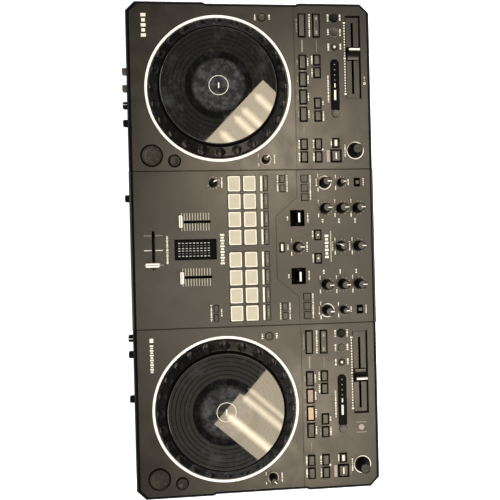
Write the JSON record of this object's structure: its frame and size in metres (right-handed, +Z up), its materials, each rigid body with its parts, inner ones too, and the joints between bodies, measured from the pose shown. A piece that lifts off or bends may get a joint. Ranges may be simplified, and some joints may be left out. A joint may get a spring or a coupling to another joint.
{
  "type": "dj controller",
  "caption": "Flat two-deck DJ controller with jog wheels, pitch sliders, performance pads, mixer faders, effect levers and rotary knobs in a black case on rubber feet.",
  "frame": {"origin": "middle of the footprint, on the surface that the rubber feet stand on", "axes": "+X to the player's right along the longest side, +Y from the player to the rear edge, +Z up"},
  "size_m": [0.711, 0.3628, 0.0734],
  "materials": {
    "case_plastic": "fine matt texture, black",
    "plate_paint": "satin black-brown with a fine grain",
    "key_plastic": "satin, a little lighter than the plates",
    "pad_rubber": "soft matt ivory silicone",
    "knob_rubber": "matt black soft-touch",
    "grey_cap": "satin grey",
    "white_cap": "semi-gloss warm white",
    "jog_rim": "satin black with finger dimples",
    "jog_plate": "polished black with fine turned grooves",
    "ring_light": "translucent white light guide",
    "window": "smoked gloss black",
    "board_green": "circuit board laminate",
    "foot_rubber": "matt black rubber",
    "lever_metal": "dark satin metal"
  },
  "bodies": {
    "chassis": {"bottom_case": "case_plastic", "left_deck_panel": "plate_paint", "mixer_panel": "plate_paint", "right_deck_panel": "plate_paint", "main_board": "board_green", "meter_window": "window", "left_light_ring": "ring_light", "right_light_ring": "ring_light", "foot_front_left": "foot_rubber", "foot_front_right": "foot_rubber", "foot_rear_left": "foot_rubber", "foot_rear_right": "foot_rubber"},
    "left_jog": {"left_jog_wheel": "jog_rim", "left_jog_plate": "jog_plate"},
    "left_tempo_cap": {"left_tempo_cap": "knob_rubber"},
    "left_browse_encoder": {"left_browse_encoder": "knob_rubber"},
    "left_deck_knob": {"left_deck_knob": "knob_rubber"},
    "left_play_button": {"left_play_button": "key_plastic"},
    "left_cue_button": {"left_cue_button": "key_plastic"},
    "left_deck_keys": {"left_deck_keys": "key_plastic"},
    "left_pad_mat": {"left_pad_mat": "pad_rubber"},
    "left_fx_lever": {"left_fx_lever": "lever_metal"},
    "left_input_switch": {"left_input_switch": "grey_cap"},
    "left_channel_cap": {"left_channel_cap": "white_cap"},
    "left_high_knob": {"left_high_knob": "knob_rubber"},
    "left_mid_knob": {"left_mid_knob": "knob_rubber"},
    "left_low_knob": {"left_low_knob": "knob_rubber"},
    "left_trim_knob": {"left_trim_knob": "grey_cap"},
    "left_filter_knob": {"left_filter_knob": "knob_rubber"},
    "right_jog": {"right_jog_wheel": "jog_rim", "right_jog_plate": "jog_plate"},
    "right_tempo_cap": {"right_tempo_cap": "knob_rubber"},
    "right_browse_encoder": {"right_browse_encoder": "knob_rubber"},
    "right_deck_knob": {"right_deck_knob": "knob_rubber"},
    "right_play_button": {"right_play_button": "key_plastic"},
    "right_cue_button": {"right_cue_button": "key_plastic"},
    "right_deck_keys": {"right_deck_keys": "key_plastic"},
    "right_pad_mat": {"right_pad_mat": "pad_rubber"},
    "right_fx_lever": {"right_fx_lever": "lever_metal"},
    "right_input_switch": {"right_input_switch": "grey_cap"},
    "right_channel_cap": {"right_channel_cap": "white_cap"},
    "right_high_knob": {"right_high_knob": "knob_rubber"},
    "right_mid_knob": {"right_mid_knob": "knob_rubber"},
    "right_low_knob": {"right_low_knob": "knob_rubber"},
    "right_trim_knob": {"right_trim_knob": "grey_cap"},
    "right_filter_knob": {"right_filter_knob": "knob_rubber"},
    "master_knob": {"master_knob": "knob_rubber"},
    "booth_knob": {"booth_knob": "knob_rubber"},
    "effect_depth_knob": {"effect_depth_knob": "knob_rubber"},
    "sampler_knob": {"sampler_knob": "knob_rubber"},
    "crossfader_cap": {"crossfader_cap": "white_cap"},
    "mixer_keys": {"mixer_keys": "key_plastic"},
    "mic_low_knob": {"mic_low_knob": "knob_rubber"},
    "mic_high_knob": {"mic_high_knob": "knob_rubber"},
    "mic_level_knob": {"mic_level_knob": "knob_rubber"},
    "headphone_mix_knob": {"headphone_mix_knob": "knob_rubber"},
    "headphone_level_knob": {"headphone_level_knob": "knob_rubber"},
    "crossfader_curve_knob": {"crossfader_curve_knob": "knob_rubber"},
    "left_fader_curve_knob": {"left_fader_curve_knob": "knob_rubber"},
    "right_fader_curve_knob": {"right_fader_curve_knob": "knob_rubber"}
  },
  "joints": [
    {"name": "left_jog_spin", "type": "hinge", "parent": "chassis", "child": "left_jog", "pos_m": [-0.2304, -0.042, 0.056], "axis": [0, 0, 1], "continuous": true},
    {"name": "left_tempo_slide", "type": "slide", "parent": "chassis", "child": "left_tempo_cap", "axis": [1, 0, 0], "range_m": [-0.0418, 0.055]},
    {"name": "left_browse_turn", "type": "hinge", "parent": "chassis", "child": "left_browse_encoder", "pos_m": [-0.1397, 0.1557, 0.056], "axis": [0, 0, 1], "continuous": true},
    {"name": "left_deck_knob_turn", "type": "hinge", "parent": "chassis", "child": "left_deck_knob", "pos_m": [-0.1279, 0.0235, 0.056], "axis": [0, 0, 1], "range_deg": [-150, 150]},
    {"name": "left_play_press", "type": "slide", "parent": "chassis", "child": "left_play_button", "axis": [0, 0, -1], "range_m": [0, 0.0012], "stiffness_N_per_m": 400, "springref_m": -0.001},
    {"name": "left_cue_press", "type": "slide", "parent": "chassis", "child": "left_cue_button", "axis": [0, 0, -1], "range_m": [0, 0.0012], "stiffness_N_per_m": 400, "springref_m": -0.001},
    {"name": "left_deck_keys_press", "type": "slide", "parent": "chassis", "child": "left_deck_keys", "axis": [0, 0, -1], "range_m": [0, 0.0008], "stiffness_N_per_m": 1500, "springref_m": -0.001},
    {"name": "left_pads_press", "type": "slide", "parent": "chassis", "child": "left_pad_mat", "axis": [0, 0, -1], "range_m": [0, 0.001], "stiffness_N_per_m": 1500, "springref_m": -0.001},
    {"name": "left_fx_lever_tilt", "type": "hinge", "parent": "chassis", "child": "left_fx_lever", "pos_m": [-0.0421, 0.0677, 0.0495], "axis": [1, 0, 0], "range_deg": [-18, 18], "stiffness_Nm_per_rad": 0.02},
    {"name": "left_input_switch_slide", "type": "slide", "parent": "chassis", "child": "left_input_switch", "axis": [1, 0, 0], "range_m": [-0.0024, 0.0024]},
    {"name": "left_channel_slide", "type": "slide", "parent": "chassis", "child": "left_channel_cap", "axis": [0, 1, 0], "range_m": [-0.001, 0.0387]},
    {"name": "left_high_turn", "type": "hinge", "parent": "chassis", "child": "left_high_knob", "pos_m": [-0.0556, 0.1571, 0.056], "axis": [0, 0, 1], "range_deg": [-150, 150]},
    {"name": "left_mid_turn", "type": "hinge", "parent": "chassis", "child": "left_mid_knob", "pos_m": [-0.0556, 0.1331, 0.056], "axis": [0, 0, 1], "range_deg": [-150, 150]},
    {"name": "left_low_turn", "type": "hinge", "parent": "chassis", "child": "left_low_knob", "pos_m": [-0.0556, 0.1088, 0.056], "axis": [0, 0, 1], "range_deg": [-150, 150]},
    {"name": "left_trim_turn", "type": "hinge", "parent": "chassis", "child": "left_trim_knob", "pos_m": [-0.0932, 0.1331, 0.056], "axis": [0, 0, 1], "range_deg": [-150, 150]},
    {"name": "left_filter_turn", "type": "hinge", "parent": "chassis", "child": "left_filter_knob", "pos_m": [-0.0932, 0.1088, 0.056], "axis": [0, 0, 1], "range_deg": [-150, 150]},
    {"name": "right_jog_spin", "type": "hinge", "parent": "chassis", "child": "right_jog", "pos_m": [0.2304, -0.042, 0.056], "axis": [0, 0, 1], "continuous": true},
    {"name": "right_tempo_slide", "type": "slide", "parent": "chassis", "child": "right_tempo_cap", "axis": [1, 0, 0], "range_m": [-0.0524, 0.0444]},
    {"name": "right_browse_turn", "type": "hinge", "parent": "chassis", "child": "right_browse_encoder", "pos_m": [0.3211, 0.1557, 0.056], "axis": [0, 0, 1], "continuous": true},
    {"name": "right_deck_knob_turn", "type": "hinge", "parent": "chassis", "child": "right_deck_knob", "pos_m": [0.3329, 0.0235, 0.056], "axis": [0, 0, 1], "range_deg": [-150, 150]},
    {"name": "right_play_press", "type": "slide", "parent": "chassis", "child": "right_play_button", "axis": [0, 0, -1], "range_m": [0, 0.0012], "stiffness_N_per_m": 400, "springref_m": -0.001},
    {"name": "right_cue_press", "type": "slide", "parent": "chassis", "child": "right_cue_button", "axis": [0, 0, -1], "range_m": [0, 0.0012], "stiffness_N_per_m": 400, "springref_m": -0.001},
    {"name": "right_deck_keys_press", "type": "slide", "parent": "chassis", "child": "right_deck_keys", "axis": [0, 0, -1], "range_m": [0, 0.0008], "stiffness_N_per_m": 1500, "springref_m": -0.001},
    {"name": "right_pads_press", "type": "slide", "parent": "chassis", "child": "right_pad_mat", "axis": [0, 0, -1], "range_m": [0, 0.001], "stiffness_N_per_m": 1500, "springref_m": -0.001},
    {"name": "right_fx_lever_tilt", "type": "hinge", "parent": "chassis", "child": "right_fx_lever", "pos_m": [0.0421, 0.0677, 0.0495], "axis": [1, 0, 0], "range_deg": [-18, 18], "stiffness_Nm_per_rad": 0.02},
    {"name": "right_input_switch_slide", "type": "slide", "parent": "chassis", "child": "right_input_switch", "axis": [1, 0, 0], "range_m": [-0.0024, 0.0024]},
    {"name": "right_channel_slide", "type": "slide", "parent": "chassis", "child": "right_channel_cap", "axis": [0, 1, 0], "range_m": [-0.001, 0.0387]},
    {"name": "right_high_turn", "type": "hinge", "parent": "chassis", "child": "right_high_knob", "pos_m": [0.0556, 0.1571, 0.056], "axis": [0, 0, 1], "range_deg": [-150, 150]},
    {"name": "right_mid_turn", "type": "hinge", "parent": "chassis", "child": "right_mid_knob", "pos_m": [0.0556, 0.1331, 0.056], "axis": [0, 0, 1], "range_deg": [-150, 150]},
    {"name": "right_low_turn", "type": "hinge", "parent": "chassis", "child": "right_low_knob", "pos_m": [0.0556, 0.1088, 0.056], "axis": [0, 0, 1], "range_deg": [-150, 150]},
    {"name": "right_trim_turn", "type": "hinge", "parent": "chassis", "child": "right_trim_knob", "pos_m": [0.0932, 0.1331, 0.056], "axis": [0, 0, 1], "range_deg": [-150, 150]},
    {"name": "right_filter_turn", "type": "hinge", "parent": "chassis", "child": "right_filter_knob", "pos_m": [0.0932, 0.1088, 0.056], "axis": [0, 0, 1], "range_deg": [-150, 150]},
    {"name": "master_turn", "type": "hinge", "parent": "chassis", "child": "master_knob", "pos_m": [0, 0.1571, 0.056], "axis": [0, 0, 1], "range_deg": [-150, 150]},
    {"name": "booth_turn", "type": "hinge", "parent": "chassis", "child": "booth_knob", "pos_m": [0, 0.1316, 0.056], "axis": [0, 0, 1], "range_deg": [-300, 0]},
    {"name": "effect_depth_turn", "type": "hinge", "parent": "chassis", "child": "effect_depth_knob", "pos_m": [0, 0.0674, 0.056], "axis": [0, 0, 1], "range_deg": [-150, 150]},
    {"name": "sampler_turn", "type": "hinge", "parent": "chassis", "child": "sampler_knob", "pos_m": [-0.095, -0.053, 0.056], "axis": [0, 0, 1], "range_deg": [-150, 150]},
    {"name": "crossfader_slide", "type": "slide", "parent": "chassis", "child": "crossfader_cap", "axis": [1, 0, 0], "range_m": [-0.0447, 0.0033]},
    {"name": "mixer_keys_press", "type": "slide", "parent": "chassis", "child": "mixer_keys", "axis": [0, 0, -1], "range_m": [0, 0.0008], "stiffness_N_per_m": 1500, "springref_m": -0.001},
    {"name": "mic_low_turn", "type": "hinge", "parent": "chassis", "child": "mic_low_knob", "pos_m": [-0.262, -0.1722, 0.034], "axis": [0, -1, 0], "range_deg": [-150, 150]},
    {"name": "mic_high_turn", "type": "hinge", "parent": "chassis", "child": "mic_high_knob", "pos_m": [-0.2372, -0.1722, 0.034], "axis": [0, -1, 0], "range_deg": [-150, 150]},
    {"name": "mic_level_turn", "type": "hinge", "parent": "chassis", "child": "mic_level_knob", "pos_m": [-0.2124, -0.1722, 0.034], "axis": [0, -1, 0], "range_deg": [-150, 150]},
    {"name": "headphone_mix_turn", "type": "hinge", "parent": "chassis", "child": "headphone_mix_knob", "pos_m": [-0.1864, -0.1722, 0.034], "axis": [0, -1, 0], "range_deg": [-150, 150]},
    {"name": "headphone_level_turn", "type": "hinge", "parent": "chassis", "child": "headphone_level_knob", "pos_m": [-0.0766, -0.1722, 0.034], "axis": [0, -1, 0], "range_deg": [-150, 150]},
    {"name": "crossfader_curve_turn", "type": "hinge", "parent": "chassis", "child": "crossfader_curve_knob", "pos_m": [0.1274, -0.1722, 0.034], "axis": [0, -1, 0], "range_deg": [-150, 150]},
    {"name": "left_fader_curve_turn", "type": "hinge", "parent": "chassis", "child": "left_fader_curve_knob", "pos_m": [0.1512, -0.1722, 0.034], "axis": [0, -1, 0], "range_deg": [-150, 150]},
    {"name": "right_fader_curve_turn", "type": "hinge", "parent": "chassis", "child": "right_fader_curve_knob", "pos_m": [0.2163, -0.1722, 0.034], "axis": [0, -1, 0], "range_deg": [-150, 150]}
  ]
}
